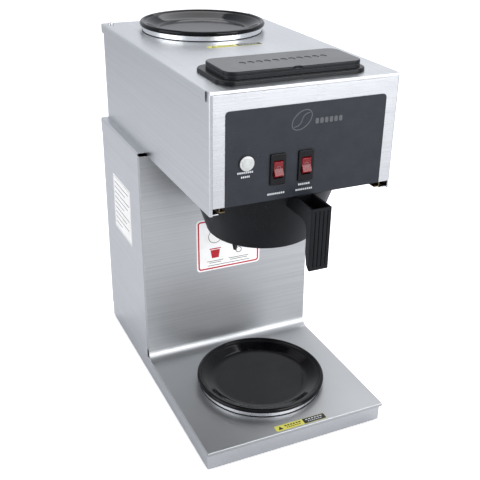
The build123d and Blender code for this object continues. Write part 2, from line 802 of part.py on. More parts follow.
def make_warmer_element(radius, y, level):
    """Flat heating element with its two blade terminals."""
    bottom = warmer_flat - element_thickness
    face = Circle(radius - element_inset) - Circle(stud_radius + fit_clearance)
    disc = Pos(0, 0, bottom) * extrude(face, element_thickness)
    disc = fillet(disc.edges().group_by(Axis.Z)[0].sort_by(SortBy.LENGTH)[-1], 1.0)
    for x in (-9, 9):
        disc += block(x - blade_width / 2, x + blade_width / 2, 30, 31, bottom - blade_length, bottom + 1)
    return Pos(0, y, level) * disc


def strap_bottom():
    return warmer_flat - element_thickness - strap_sheet


def make_warmer_bracket(radius, y, level):
    """Strap under the panel, from side to side of its hole, for the stud's nut to pull against."""
    low = strap_bottom() + strap_sheet / 2
    high = -sheet - strap_sheet / 2
    end = radius
    bend_out = radius - strap_bend_out
    bend_in = radius - strap_bend_in
    section = bent_strip([(-end, high), (-bend_out, high), (-bend_in, low), (bend_in, low), (bend_out, high),
                          (end, high)], 2 * strap_sheet, strap_sheet)
    strap = extrude(Plane.XZ * section, 12, both=True)
    strap -= Cylinder(stud_radius + fit_clearance, 60)
    return Pos(0, y, level) * strap


def make_warmer_brackets():
    return Compound([make_warmer_bracket(warmer_radii[name], y, level) for name, y, level in warmer_places()])


def make_warmer_nuts():
    nuts = []
    for _, y, level in warmer_places():
        top = level + strap_bottom()
        nuts.append(hexagon_nut(10, stud_radius, top - nut_height, top, 0, y))
    return Compound(nuts)


def warmer_places():
    yield "lower", lower_warmer_y, deck_top
    yield "upper", upper_warmer_y, head_top


for name, y, level in warmer_places():
    size = warmer_radii[name]
    nodes[f"{name}_warmer_plate"] = make_warmer_plate(size, y, level)
    nodes[f"{name}_warmer_ring"] = make_warmer_ring(size, y, level)
    nodes[f"{name}_warmer_element"] = make_warmer_element(size, y, level)
nodes["warmer_gaskets"] = make_warmer_gaskets()
nodes["warmer_brackets"] = make_warmer_brackets()
nodes["warmer_nuts"] = make_warmer_nuts()


# ---------------------------------------------------------------- ready light
def make_light_lens():
    """Domed lens with a flat rim, in front of its collar."""
    profile = [(0, 0), (light_radius, 0), (light_radius, -light_rim), (light_radius - 0.8, -light_rim - 0.5),
               (0.72 * light_radius, -light_rim - 0.7), (0.55 * light_radius, -light_rim - 1.4),
               (0, -light_rim - 1.8)]
    return turned_to_front(profile, light_offset, control_front - light_collar, light_height)


def make_light_body():
    """Black body with a collar in front of the plate and two blade terminals."""
    end = light_body_depth
    collar = light_radius + 0.6
    profile = [(0, -light_collar), (collar, -light_collar), (collar, 0), (light_body_radius, 0),
               (light_body_radius, end), (light_body_radius - 1, end + 1), (0, end + 1)]
    body = turned_to_front(profile, light_offset, control_front, light_height)
    half = blade_thickness / 2
    for x in (-3, 3):
        body += block(light_offset + x - half, light_offset + x + half, control_front + end,
                      control_front + end + blade_length, light_height - 2.4, light_height + 2.4)
    return body


def make_light_nut():
    back = head_front + sheet
    wide = light_body_radius + 4
    profile = [(light_body_radius, 0), (wide, 0), (wide, 1.2), (light_body_radius + 1.5, 3.2),
               (light_body_radius, 3.2)]
    return turned_to_front(profile, light_offset, back, light_height)


nodes["ready_light_lens"] = make_light_lens()
nodes["ready_light_body"] = make_light_body()
nodes["ready_light_nut"] = make_light_nut()


# ---------------------------------------------------------------- rocker switches
bezel_front = control_front - bezel_proud
pivot_y = bezel_front + rocker_pivot_depth
switch_back = control_front + switch_depth


def make_switch_housing(offset):
    half_width = bezel_width / 2
    half_height = bezel_height / 2
    bezel = block(-half_width, half_width, bezel_front, control_front,
                  switch_height - half_height, switch_height + half_height)
    bezel = fillet(bezel.edges().filter_by(Axis.Y), 1.5)
    bezel = fillet(bezel.faces().sort_by(Axis.Y)[0].edges(), 0.7)
    body = block(-switch_body_width / 2, switch_body_width / 2, control_front, switch_back,
                 switch_height - switch_body_height / 2, switch_height + switch_body_height / 2)
    housing = bezel + body
    opening_x = rocker_width / 2 + rocker_side_gap
    opening_z = rocker_radius + rocker_gap
    housing -= block(-opening_x, opening_x, bezel_front - 1, pivot_y + rocker_back + 4,
                     switch_height - opening_z, switch_height + opening_z)
    bore = trunnion_radius + trunnion_clearance
    reach = opening_x + trunnion_length
    housing -= rod(bore, (-reach, pivot_y, switch_height), (reach, pivot_y, switch_height))
    return Pos(offset, 0, 0) * housing


def make_rocker(offset):
    """Rocker at rest: pressed at the top, with its lower end standing out."""
    half = rocker_width / 2
    crest = rocker_crest
    ends = rocker_crest + rocker_dish
    beyond = 3 * rocker_radius
    blank = rod(rocker_radius, (-half, 0, 0), (half, 0, 0))
    front = [(-crest, 0), (-ends, rocker_radius), (-beyond, rocker_radius), (-beyond, -rocker_radius),
             (-ends, -rocker_radius)]
    blank -= side_plate(front, -half - 1, half + 1)
    blank -= block(-half - 1, half + 1, rocker_back, beyond, -rocker_radius - 1, rocker_radius + 1)
    pin_end = half + rocker_side_gap + trunnion_length - 0.2
    blank += rod(trunnion_radius, (-pin_end, 0, 0), (pin_end, 0, 0))
    return Pos(offset, pivot_y, switch_height) * Rot(-rocker_tilt, 0, 0) * blank


def make_switch_terminals():
    blades = []
    half_width = blade_width / 2
    half_thickness = blade_thickness / 2
    for offset in switch_offsets.values():
        for step in (-9, 0, 9):
            z = switch_height + step
            blades.append(block(offset - half_width, offset + half_width, switch_back,
                                switch_back + blade_length, z - half_thickness, z + half_thickness))
    return Compound(blades)


for name, offset in switch_offsets.items():
    nodes[f"{name}_switch_housing"] = make_switch_housing(offset)
    nodes[f"{name}_rocker"] = make_rocker(offset)
nodes["switch_terminals"] = make_switch_terminals()


# ---------------------------------------------------------------- spray fitting
fitting_top = floor_height + 22
spray_level = rim_top + 1.5


def make_spray_fitting():
    flange_bottom = floor_height - 1.6
    flange = spout_radius + 5
    bore = spout_radius - hose_wall
    profile = [(bore, spray_level + 1), (spout_radius, spray_level + 1), (spout_radius, flange_bottom),
               (flange, flange_bottom), (flange, floor_height), (spout_radius, floor_height),
               (spout_radius, fitting_top), (bore, fitting_top)]
    return turned(profile, 0, basket_y)


def make_spray_disc():
    disc = Circle(26)
    for ring_radius, holes in ((9.5, 6), (16, 10), (22, 14)):
        disc -= PolarLocations(ring_radius, holes) * Circle(1.0)
    return Pos(0, basket_y, spray_level) * extrude(disc, 1.0)


nodes["spray_fitting"] = make_spray_fitting()
spray_nut_bottom = floor_height + sheet
nodes["spray_nut"] = hexagon_nut(22, spout_radius, spray_nut_bottom, spray_nut_bottom + nut_height, 0, basket_y)
nodes["spray_disc"] = make_spray_disc()


# ---------------------------------------------------------------- tank
outlet_place = (0.0, tank_rear - 22)
fill_place = (25 - half_tank, tank_y)
bulb_place = (half_tank - 23, tank_y + 20)
heater_y = tank_y - 20


def make_tank_body():
    outside = rounded_block(-half_tank, half_tank, tank_front, tank_rear, tank_bottom, tank_top, tank_corner)
    inside = rounded_block(-half_tank + sheet, half_tank - sheet, tank_front + sheet, tank_rear - sheet,
                           tank_bottom + sheet, tank_top + 1, tank_corner - sheet)
    body = outside + tank_flange_plate(tank_top - sheet, tank_top) - inside
    for x, y in tank_screw_places():
        body -= Pos(x, y, tank_top) * Cylinder(screw_radius, 6)
    return body


def tank_screw_places():
    x_edge = half_tank + tank_flange / 2
    for x in (-x_edge, x_edge):
        for y in (tank_front + 25, tank_rear - 25):
            yield x, y
    x_inner = 0.6 * half_tank
    for x in (-x_inner, x_inner):
        for y in (tank_front - tank_flange / 2, tank_rear + tank_flange / 2):
            yield x, y


def tank_flange_plate(z0, z1):
    half = half_tank + tank_flange
    return rounded_block(-half, half, tank_front - tank_flange, tank_rear + tank_flange, z0, z1,
                         tank_corner + tank_flange / 2)


def make_tank_gasket():
    ring = tank_flange_plate(tank_top, tank_lid_bottom)
    ring -= rounded_block(-half_tank + 1, half_tank - 1, tank_front + 1, tank_rear - 1,
                          tank_top - 1, tank_lid_bottom + 1, tank_corner - 1)
    for x, y in tank_screw_places():
        ring -= Pos(x, y, tank_top) * Cylinder(screw_radius, 8)
    return ring


def make_tank_lid():
    lid = tank_flange_plate(tank_lid_bottom, tank_lid_top)
    for x, y in tank_screw_places():
        lid -= Pos(x, y, tank_lid_top) * Cylinder(screw_radius, 8)
    for x in (-heater_spread, heater_spread):
        lid -= Pos(x, heater_y, tank_lid_top) * Cylinder(heater_sheath, 8)
    lid -= Pos(*bulb_place, tank_lid_top) * Cylinder(bulb_radius, 8)
    lid -= Pos(*fill_place, tank_lid_top) * Cylinder(spout_radius - fit_clearance, 8)
    x, y = outlet_place
    lid -= Pos(x, y, tank_lid_top) * Cylinder(spout_radius - hose_wall, 8)
    lid += rod(spout_radius, (x, y, tank_lid_top - 0.5), (x, y, tank_lid_top + 14))
    lid -= rod(spout_radius - hose_wall, (x, y, tank_lid_bottom - 1), (x, y, tank_lid_top + 15))
    return lid


def make_tank_heater():
    low = tank_bottom + 25
    high = tank_lid_top + 16
    points = [(-heater_spread, heater_y, high), (-heater_spread, heater_y, low),
              (heater_spread, heater_y, low), (heater_spread, heater_y, high)]
    return pipe(heater_sheath, points, 24)


def make_heater_nuts():
    nuts = [hexagon_nut(17, heater_sheath, tank_lid_top, tank_lid_top + 6, x, heater_y)
            for x in (-heater_spread, heater_spread)]
    return Compound(nuts)


def make_fill_tube():
    """Tube that takes cold water from the basin to the bottom of the tank."""
    x, y = fill_place
    outer = spout_radius - fit_clearance
    tube = rod(outer, (x, y, tank_bottom + 20), (x, y, tank_lid_top + 10))
    collar = rod(11, (x, y, tank_lid_top), (x, y, tank_lid_top + 2))
    return tube + collar - rod(outer - hose_wall, (x, y, tank_bottom), (x, y, tank_lid_top + 20))


def make_tank_brackets():
    """Two hangers from the head's sides to the underside of the tank flange."""
    top = tank_top - sheet
    half = sheet / 2
    inner = half_tank + 0.5
    outer = half_head_inside - half
    section = bent_strip([(inner, top - half), (outer, top - half), (outer, top - 26)], bend, sheet)
    right = extrude(Plane.XZ.offset(-tank_y - 20) * section, 40)
    return Compound([right, mirrored(right)])


def make_insulation():
    half = half_tank + insulation
    outside = rounded_block(-half, half, tank_front - insulation, tank_rear + insulation,
                            tank_bottom - insulation, tank_top - insulation_gap, tank_corner + insulation)
    inside = rounded_block(-half_tank, half_tank, tank_front, tank_rear, tank_bottom, tank_top, tank_corner)
    return outside - inside


nodes["tank_body"] = make_tank_body()
nodes["tank_gasket"] = make_tank_gasket()
nodes["tank_lid"] = make_tank_lid()
nodes["tank_heater"] = make_tank_heater()
nodes["heater_nuts"] = make_heater_nuts()
nodes["tank_fill_tube"] = make_fill_tube()
nodes["tank_brackets"] = make_tank_brackets()
nodes["tank_insulation"] = make_insulation()


# ---------------------------------------------------------------- hoses
def make_hose(points, bore):
    return pipe(bore + hose_wall, points, hose_bend) - pipe(bore, points, hose_bend)


fill_hose_level = tank_lid_top + 22


def make_fill_hose():
    start = (spout_x, basin_mid_y, basin_floor)
    low = (spout_x, basin_mid_y, fill_hose_level)
    high = (*fill_place, fill_hose_level)
    end = (*fill_place, tank_lid_top + 3)
    return make_hose([start, low, high, end], spout_radius)


def make_outlet_hose():
    x, y = outlet_place
    run = tank_lid_top + 38
    start = (x, y, tank_lid_top + 1)
    end = (0, basket_y, floor_height + sheet + 8)
    return make_hose([start, (x, y, run), (0, basket_y, run - 14), end], spout_radius)


def make_hose_clamps():
    inner = spout_radius + hose_wall
    places = [(spout_x, basin_mid_y, basin_floor - 7), (*fill_place, tank_lid_top + 4),
              (*outlet_place, tank_lid_top + 4), (0, basket_y, fitting_top - 9)]
    clamps = []
    for x, y, z in places:
        band = Pos(x, y, z) * extrude(Circle(inner + 0.8) - Circle(inner), 6)
        band += block(x - 4, x + 4, y + inner + 0.4, y + inner + 6, z, z + 6)
        clamps.append(band)
    return Compound(clamps)


nodes["fill_hose"] = make_fill_hose()
nodes["outlet_hose"] = make_outlet_hose()
nodes["hose_clamps"] = make_hose_clamps()


# ---------------------------------------------------------------- thermostats and wiring
thermostat_x = half_head_inside - thermostat_size / 2 - 19.3
thermostat_y = column_foot - 30.5
thermostat_floor = floor_height + sheet
thermostat_mid = thermostat_floor + thermostat_height / 2
thermostat_front = thermostat_y - thermostat_depth / 2
thermostat_neck = 6.0


def along_thermostat(y):
    """Point on the thermostat shaft's axis."""
    return (thermostat_x, y, thermostat_mid)


def make_thermostat_body():
    half = thermostat_size / 2
    rear = thermostat_front + thermostat_depth
    body = block(thermostat_x - half, thermostat_x + half, thermostat_front, rear, thermostat_floor,
                 thermostat_floor + thermostat_height)
    body = fillet(body.edges().filter_by(Axis.Z), 3)
    neck_end = thermostat_front - thermostat_neck
    neck = rod(2 * shaft_radius, along_thermostat(neck_end), along_thermostat(thermostat_front))
    bore_end = along_thermostat(thermostat_front + 6)
    bore = rod(shaft_radius + shaft_clearance, along_thermostat(neck_end - 1), bore_end)
    return body + neck - bore


def make_thermostat_shaft():
    """Slotted shaft that is turned with a screwdriver."""
    tip = thermostat_front - thermostat_neck - 8
    shaft = rod(shaft_radius, along_thermostat(tip), along_thermostat(thermostat_front + 5.5))
    slot_reach = 2 * shaft_radius
    return shaft - block(thermostat_x - 0.5, thermostat_x + 0.5, tip - 1, tip + 2,
                         thermostat_mid - slot_reach, thermostat_mid + slot_reach)


def make_thermostat_bulb():
    """Capillary from the thermostat to its bulb in the tank."""
    x, y = bulb_place
    start = thermostat_x + 12
    run = tank_lid_top + 12
    points = [(start, thermostat_y, thermostat_floor + thermostat_height), (start, thermostat_y, run),
              (x, y, run), (x, y, tank_lid_top + 1)]
    capillary = pipe(capillary_radius, points, 5 * capillary_radius)
    return capillary + rod(bulb_radius, (x, y, tank_lid_top + 2), (x, y, tank_lid_bottom - bulb_length))


def make_limit_thermostat():
    x, y = heater_spread - 3, heater_y - 26
    body = turned([(0, 0), (11, 0), (11, 6), (8, 6), (8, 14), (0, 14)], x, y, tank_lid_top)
    half_thickness = blade_thickness / 2
    half_width = blade_width / 2
    for step in (-4.5, 4.5):
        body += block(x + step - half_thickness, x + step + half_thickness, y - half_width, y + half_width,
                      tank_lid_top + 13, tank_lid_top + 13 + blade_length)
    return body


def make_terminal_block():
    x, z = -20.0, inlet_z
    pitch = 22.0
    face = shell_rear - 22
    body = block(x - 34, x + 34, face, shell_rear, z - pitch / 2, z + pitch / 2)
    for column in (-1, 0, 1):
        pole = x + pitch * column
        body -= rod(5, (pole, face - 1, z), (pole, face + 8, z))
        body += rod(3, (pole, face + 3, z), (pole, face + 9, z))
    return body


def make_inlet_bushing():
    end = sheet + inlet_bush_proud
    flange = inlet_bush_radius + 3
    profile = [(inlet_bore, -8), (inlet_bush_radius, -8), (inlet_bush_radius, sheet), (flange, sheet),
               (flange, end - 1), (flange - 1, end), (inlet_bore, end)]
    return turned_to_front(profile, inlet_x, shell_rear, inlet_z)


nodes["thermostat_body"] = make_thermostat_body()
nodes["thermostat_shaft"] = make_thermostat_shaft()
nodes["thermostat_bulb"] = make_thermostat_bulb()
nodes["limit_thermostat"] = make_limit_thermostat()
nodes["terminal_block"] = make_terminal_block()
nodes["cord_inlet_bushing"] = make_inlet_bushing()


# ---------------------------------------------------------------- screws
def pan_head_screw(place, direction):
    """Pan-head screw whose head sits on place and whose shank runs along direction."""
    head = Cylinder(screw_head_radius, screw_head, align=(Align.CENTER, Align.CENTER, Align.MAX))
    head = fillet(head.edges().group_by(Axis.Z)[0], screw_head / 2)
    cross = 1.33 * screw_head_radius
    head -= Pos(0, 0, -screw_head) * (Box(1.0, cross, 1.8) + Box(cross, 1.0, 1.8))
    shank = Cylinder(screw_radius, screw_length, align=(Align.CENTER, Align.CENTER, Align.MIN))
    return Plane(origin=place, z_dir=direction) * (head + shank)


def make_case_screws():
    screws = [pan_head_screw((x, y, head_top), (0, 0, -1)) for x, y in cover_screw_places()]
    screws += [pan_head_screw((x, base_rear, z), (0, -1, 0)) for x, z in rear_screw_places()]
    screws += [pan_head_screw((x, y, foot_proud), (0, 0, 1)) for x, y in bottom_screw_places()]
    screws += [pan_head_screw((x, y, floor_height - rail_sheet), (0, 0, 1)) for x, y in rail_screw_places()]
    screws += [pan_head_screw((x, y, tank_lid_top), (0, 0, -1)) for x, y in tank_screw_places()]
    return Compound(screws)


nodes["pan_head_screws"] = make_case_screws()


# ---------------------------------------------------------------- labels on the panels
def make_instruction_label():
    """Care card on the column front, lying on the leaning sheet."""
    card = Rectangle(card_width, card_high - card_low)
    middle = (card_low + card_high) / 2
    tilt = math.degrees(math.atan2(column_lean, column_top - deck_top))
    flat = extrude(fillet(card.vertices(), 5), label_thickness)
    return Pos(0, column_front_at(middle), middle) * Rot(90 - tilt, 0, 0) * flat


def make_rating_label():
    card = Rectangle(rating_width, rating_height)
    place = (-half_base, base_front + rating_setback, rating_middle)
    plane = Plane(origin=place, x_dir=(0, -1, 0), z_dir=(-1, 0, 0))
    return extrude(plane * fillet(card.vertices(), 2), label_thickness)


def make_hot_labels():
    card = fillet(Rectangle(hot_label_width, hot_label_depth).vertices(), 0.6)
    strip = extrude(card, label_thickness)
    lower = Pos(hot_label_shift, base_front + lower_label_setback, deck_top) * strip
    upper = Pos(0, base_front + upper_label_setback, head_top) * strip
    return Compound([lower, upper])


nodes["instruction_label"] = make_instruction_label()
nodes["rating_label"] = make_rating_label()
nodes["hot_surface_labels"] = make_hot_labels()


# ---------------------------------------------------------------- files
os.makedirs("parts", exist_ok=True)
for name, shape in nodes.items():
    shape.label = name
    export_step(shape, f"parts/{name}.step")
print(len(nodes), "nodes")
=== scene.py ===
import json
import math

import bmesh
import bpy
from mathutils import Matrix, Vector


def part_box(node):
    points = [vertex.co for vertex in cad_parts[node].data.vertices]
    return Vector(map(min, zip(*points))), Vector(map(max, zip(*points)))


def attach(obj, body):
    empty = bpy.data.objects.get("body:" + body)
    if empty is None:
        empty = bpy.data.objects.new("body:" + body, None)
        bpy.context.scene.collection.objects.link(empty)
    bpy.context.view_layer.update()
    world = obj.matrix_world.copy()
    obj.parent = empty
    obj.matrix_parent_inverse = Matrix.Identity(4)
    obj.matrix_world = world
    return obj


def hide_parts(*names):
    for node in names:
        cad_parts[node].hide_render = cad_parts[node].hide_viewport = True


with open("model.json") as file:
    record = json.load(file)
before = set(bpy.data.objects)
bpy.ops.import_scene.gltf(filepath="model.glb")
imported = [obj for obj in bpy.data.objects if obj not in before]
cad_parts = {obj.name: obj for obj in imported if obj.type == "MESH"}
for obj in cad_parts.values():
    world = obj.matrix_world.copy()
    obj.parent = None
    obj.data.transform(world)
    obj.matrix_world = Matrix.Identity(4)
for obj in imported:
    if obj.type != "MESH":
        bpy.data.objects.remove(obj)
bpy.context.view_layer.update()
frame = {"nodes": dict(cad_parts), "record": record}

MM = 0.001


# ------------------------------------------------------------------ camera, floor and lights
def turn_about_view(right, up, roll):
    """Right and up vectors of the camera after it is rolled about its line of sight."""
    rolled_right = right * math.cos(roll) + up * math.sin(roll)
    rolled_up = up * math.cos(roll) - right * math.sin(roll)
    return rolled_right, rolled_up


def make_camera():
    """Camera in front of the brewer's left corner, looking down on it."""
    eye = Vector((-0.3967, -0.8578, 0.6590))
    across = math.radians(25.01)
    down = math.radians(25.82)
    roll = math.radians(0.96)
    ahead = Vector((math.sin(across) * math.cos(down), math.cos(across) * math.cos(down), -math.sin(down)))
    right = ahead.cross(Vector((0, 0, 1))).normalized()
    up = right.cross(ahead)
    right, up = turn_about_view(right, up, roll)
    data = bpy.data.cameras.new("camera")
    data.sensor_width = 36
    data.lens = 59.3
    camera = bpy.data.objects.new("camera", data)
    bpy.context.scene.collection.objects.link(camera)
    turn = Matrix((right, up, -ahead)).transposed().to_4x4()
    camera.matrix_world = Matrix.Translation(eye) @ turn
    bpy.context.scene.camera = camera


LIGHTS = (                   # name, place, point aimed at, size, watts; lengths in metres
    ("front_light", (0.9, -1.9, 1.0), (0, 0, 0.3), (1.6, 1.6), 28),
    ("left_light", (-1.9, -0.1, 0.8), (0, 0, 0.25), (1.6, 2.2), 18),
    ("top_light", (0.7, 0.8, 2.0), (0, 0, 0.3), (1.5, 1.5), 15),
)


def soft_light(name, place, target, size, power):
    data = bpy.data.lights.new(name, "AREA")
    data.shape = "RECTANGLE"
    data.size, data.size_y = size
    data.energy = power
    light = bpy.data.objects.new(name, data)
    light.location = place
    light.rotation_euler = (Vector(target) - Vector(place)).to_track_quat("-Z", "Y").to_euler()
    bpy.context.scene.collection.objects.link(light)


def make_studio():
    for light in LIGHTS:
        soft_light(*light)
    world = bpy.data.worlds.new("studio")
    bpy.context.scene.world = world
    world.use_nodes = True
    background = world.node_tree.nodes["Background"]
    background.inputs["Color"].default_value = (0.93, 0.95, 1.0, 1)
    background.inputs["Strength"].default_value = 0.72
    bpy.context.scene.view_settings.view_transform = "Standard"
    bpy.context.scene.view_settings.look = "Medium High Contrast"


def make_floor():
    """Floor that is near white and glows a little for the camera, and is greyer in reflections."""
    half = 6.0
    reflected, direct = (0.66, 0.66, 0.67, 1), (0.97, 0.97, 0.97, 1)
    no_glow, glow = (0, 0, 0, 1), (0.32, 0.32, 0.32, 1)
    corners = [(-half, -half, 0), (half, -half, 0), (half, half, 0), (-half, half, 0)]
    mesh = bpy.data.meshes.new("floor")
    mesh.from_pydata(corners, [], [(0, 1, 2, 3)])
    floor = bpy.data.objects.new("floor", mesh)
    bpy.context.scene.collection.objects.link(floor)
    material = bpy.data.materials.new("pale_floor")
    material.use_nodes = True
    tree = material.node_tree
    shader = tree.nodes["Principled BSDF"]
    seen = add_node(tree, "ShaderNodeLightPath").outputs["Is Camera Ray"]
    fill_inputs(tree, shader, {
        "Base Color": blend_colours(tree, seen, reflected, direct),
        "Emission Color": blend_colours(tree, seen, no_glow, glow),
        "Emission Strength": 1.0,
        "Roughness": 0.9,
    })
    mesh.materials.append(material)


# ------------------------------------------------------------------ shared effects, as node groups
class Group:
    """A shader node group with named sockets, and short calls to fill it."""

    def __init__(self, name, inputs, outputs):
        self.tree = bpy.data.node_groups.new(name, "ShaderNodeTree")
        for label, kind, value in inputs:
            socket = self.tree.interface.new_socket(name=label, in_out="INPUT", socket_type=kind)
            if value is not None:
                socket.default_value = value
        for label, kind in outputs:
            self.tree.interface.new_socket(name=label, in_out="OUTPUT", socket_type=kind)
        self.enter = self.tree.nodes.new("NodeGroupInput")
        self.leave = self.tree.nodes.new("NodeGroupOutput")

    def take(self, label):
        return self.enter.outputs[label]

    def give(self, label, socket):
        self.tree.links.new(socket, self.leave.inputs[label])


def fill_inputs(tree, node, links):
    """Fill a node's inputs, by name or number, with sockets or plain values."""
    for key, value in links.items():
        if isinstance(value, bpy.types.NodeSocket):
            tree.links.new(value, node.inputs[key])
        else:
            node.inputs[key].default_value = value


def add_node(tree, kind, links=None, **settings):
    node = tree.nodes.new(kind)
    for key, value in settings.items():
        setattr(node, key, value)
    fill_inputs(tree, node, links or {})
    return node


def noise(tree, place, scale, detail=3.0, rough=0.55):
    node = add_node(tree, "ShaderNodeTexNoise",
                    {"Vector": place, "Scale": scale, "Detail": detail, "Roughness": rough})
    return node.outputs["Fac"]


def stretch(tree, value, low, high, out_low=0.0, out_high=1.0):
    """Map Range from low..high to out_low..out_high, clamped."""
    node = add_node(tree, "ShaderNodeMapRange", {"Value": value, "From Min": low, "From Max": high,
                                                 "To Min": out_low, "To Max": out_high})
    return node.outputs["Result"]


def sums(tree, operation, first, second):
    return add_node(tree, "ShaderNodeMath", {0: first, 1: second}, operation=operation).outputs[0]


def blend_colours(tree, share, first, second):
    """Mix node for colours, whose colour sockets are inputs 6 and 7 and output 2."""
    node = add_node(tree, "ShaderNodeMix", data_type="RGBA")
    fill_inputs(tree, node, {"Factor": share, 6: first, 7: second})
    return node.outputs[2]


def make_brushed_lines():
    """Long fine scratches of a brushed sheet, and the slow streaks among them."""
    group = Group("brushed_lines",
                  [("Place", "NodeSocketVector", None), ("Stretch", "NodeSocketVector", None)],
                  [("Lines", "NodeSocketFloat"), ("Streaks", "NodeSocketFloat")])
    tree = group.tree
    along = add_node(tree, "ShaderNodeVectorMath", {0: group.take("Place"), 1: group.take("Stretch")},
                     operation="MULTIPLY").outputs[0]
    group.give("Lines", noise(tree, along, 1.0, 5.0, 0.7))
    group.give("Streaks", noise(tree, along, 0.09, 3.0, 0.5))
    return group.tree


def make_edge_wear():
    """Mask that is 1 along outer edges, and the normal that rounds them."""
    group = Group("edge_wear",
                  [("Radius", "NodeSocketFloat", 0.001), ("Sharpness", "NodeSocketFloat", 6.0)],
                  [("Wear", "NodeSocketFloat"), ("Normal", "NodeSocketVector")])
    tree = group.tree
    bevel = add_node(tree, "ShaderNodeBevel", {"Radius": group.take("Radius")}, samples=4)
    true = add_node(tree, "ShaderNodeNewGeometry").outputs["Normal"]
    match = add_node(tree, "ShaderNodeVectorMath", {0: bevel.outputs[0], 1: true}, operation="DOT_PRODUCT")
    away = sums(tree, "SUBTRACT", 1.0, match.outputs["Value"])
    group.give("Wear", sums(tree, "MINIMUM", sums(tree, "MULTIPLY", away, group.take("Sharpness")), 1.0))
    group.give("Normal", bevel.outputs[0])
    return group.tree


def make_handling_marks():
    """Cloudy smudges and sparse dust of a surface that is wiped by hand."""
    group = Group("handling_marks",
                  [("Place", "NodeSocketVector", None), ("Size", "NodeSocketFloat", 14.0)],
                  [("Smudge", "NodeSocketFloat"), ("Dust", "NodeSocketFloat")])
    tree = group.tree
    cloud = noise(tree, group.take("Place"), group.take("Size"), 4.0, 0.6)
    group.give("Smudge", stretch(tree, cloud, 0.38, 0.68))
    fine = noise(tree, group.take("Place"), 900.0, 2.0, 0.5)
    specks, where = stretch(tree, fine, 0.66, 0.74), stretch(tree, cloud, 0.45, 0.7)
    group.give("Dust", sums(tree, "MULTIPLY", specks, where))
    return group.tree


def make_moulded_grain():
    """Fine leathery bumps of moulded plastic."""
    group = Group("moulded_grain",
                  [("Place", "NodeSocketVector", None), ("Scale", "NodeSocketFloat", 1800.0)],
                  [("Height", "NodeSocketFloat"), ("Cloud", "NodeSocketFloat")])
    tree = group.tree
    cells = add_node(tree, "ShaderNodeTexVoronoi",
                     {"Vector": group.take("Place"), "Scale": group.take("Scale")}, feature="SMOOTH_F1")
    group.give("Height", cells.outputs["Distance"])
    group.give("Cloud", noise(tree, group.take("Place"), 60.0, 3.0, 0.6))
    return group.tree


brushed_lines = make_brushed_lines()
edge_wear = make_edge_wear()
handling_marks = make_handling_marks()
moulded_grain = make_moulded_grain()


# ------------------------------------------------------------------ materials
def start_material(name):
    material = bpy.data.materials.new(name)
    material.use_nodes = True
    tree = material.node_tree
    shader = tree.nodes["Principled BSDF"]
    place = tree.nodes.new("ShaderNodeTexCoord").outputs["Object"]
    return material, tree, shader, place


def fill_group(tree, group, links):
    node = tree.nodes.new("ShaderNodeGroup")
    node.node_tree = group
    fill_inputs(tree, node, links)
    return node


def bump(tree, height, strength, distance, normal=None):
    """Normal of a bumpy surface; distance in metres."""
    links = {"Height": height, "Strength": strength, "Distance": distance}
    if normal is not None:
        links["Normal"] = normal
    return add_node(tree, "ShaderNodeBump", links).outputs[0]


def upward(tree):
    """Mask that is 1 on faces that look up."""
    normal = add_node(tree, "ShaderNodeNewGeometry").outputs["Normal"]
    height = add_node(tree, "ShaderNodeSeparateXYZ", {0: normal}).outputs[2]
    return stretch(tree, height, 0.75, 0.98)


def brushed_steel(name, dark, light, rough, lines, top_shade=0.0):
    """Brushed stainless sheet; lines is the stretch along X, Y, Z, smallest along the grain.

    The last argument sets how much painted shade darkens the faces that look up.
    """
    edge, depth = 0.6 * MM, 0.01 * MM
    material, tree, shader, place = start_material(name)
    brush = fill_group(tree, brushed_lines, {"Place": place, "Stretch": lines})
    wear = fill_group(tree, edge_wear, {"Radius": edge, "Sharpness": 3.0})
    marks = fill_group(tree, handling_marks, {"Place": place, "Size": 9.0})
    tone = sums(tree, "ADD", sums(tree, "MULTIPLY", brush.outputs["Lines"], 0.55),
                sums(tree, "MULTIPLY", brush.outputs["Streaks"], 0.45))
    tone = stretch(tree, tone, 0.3, 0.7)
    colour = blend_colours(tree, tone, (*dark, 1), (*light, 1))
    # Painted shade: faces that look up take a darker tone than the rest of the sheet.
    if top_shade:
        shaded_top = [(1 - top_shade) * c for c in light]
        colour = blend_colours(tree, upward(tree), colour, (*shaded_top, 1))
    bright = [min(1.0, 1.12 * c) for c in light]
    colour = blend_colours(tree, sums(tree, "MULTIPLY", wear.outputs["Wear"], 0.5), colour, (*bright, 1))
    base = stretch(tree, brush.outputs["Lines"], 0.25, 0.75, rough - 0.05, rough + 0.06)
    smudged = sums(tree, "ADD", base, sums(tree, "MULTIPLY", marks.outputs["Smudge"], 0.05))
    fill_inputs(tree, shader, {
        "Metallic": 1.0,
        "Base Color": colour,
        "Roughness": smudged,
        "Normal": bump(tree, brush.outputs["Lines"], 0.35, depth, wear.outputs["Normal"]),
    })
    return material


def bright_metal(name, colour, rough):
    """Plated, drawn or machined metal with faint mottling and worn edges."""
    edge, mottling = 0.4 * MM, 0.06
    material, tree, shader, place = start_material(name)
    marks = fill_group(tree, handling_marks, {"Place": place, "Size": 40.0})
    wear = fill_group(tree, edge_wear, {"Radius": edge, "Sharpness": 3.0})
    darker = [(1 - 2 * mottling) * c for c in colour]
    fill_inputs(tree, shader, {
        "Metallic": 1.0,
        "Base Color": blend_colours(tree, marks.outputs["Smudge"], (*colour, 1), (*darker, 1)),
        "Roughness": stretch(tree, marks.outputs["Smudge"], 0, 1, rough, rough + 0.08),
        "Normal": wear.outputs["Normal"],
    })
    return material


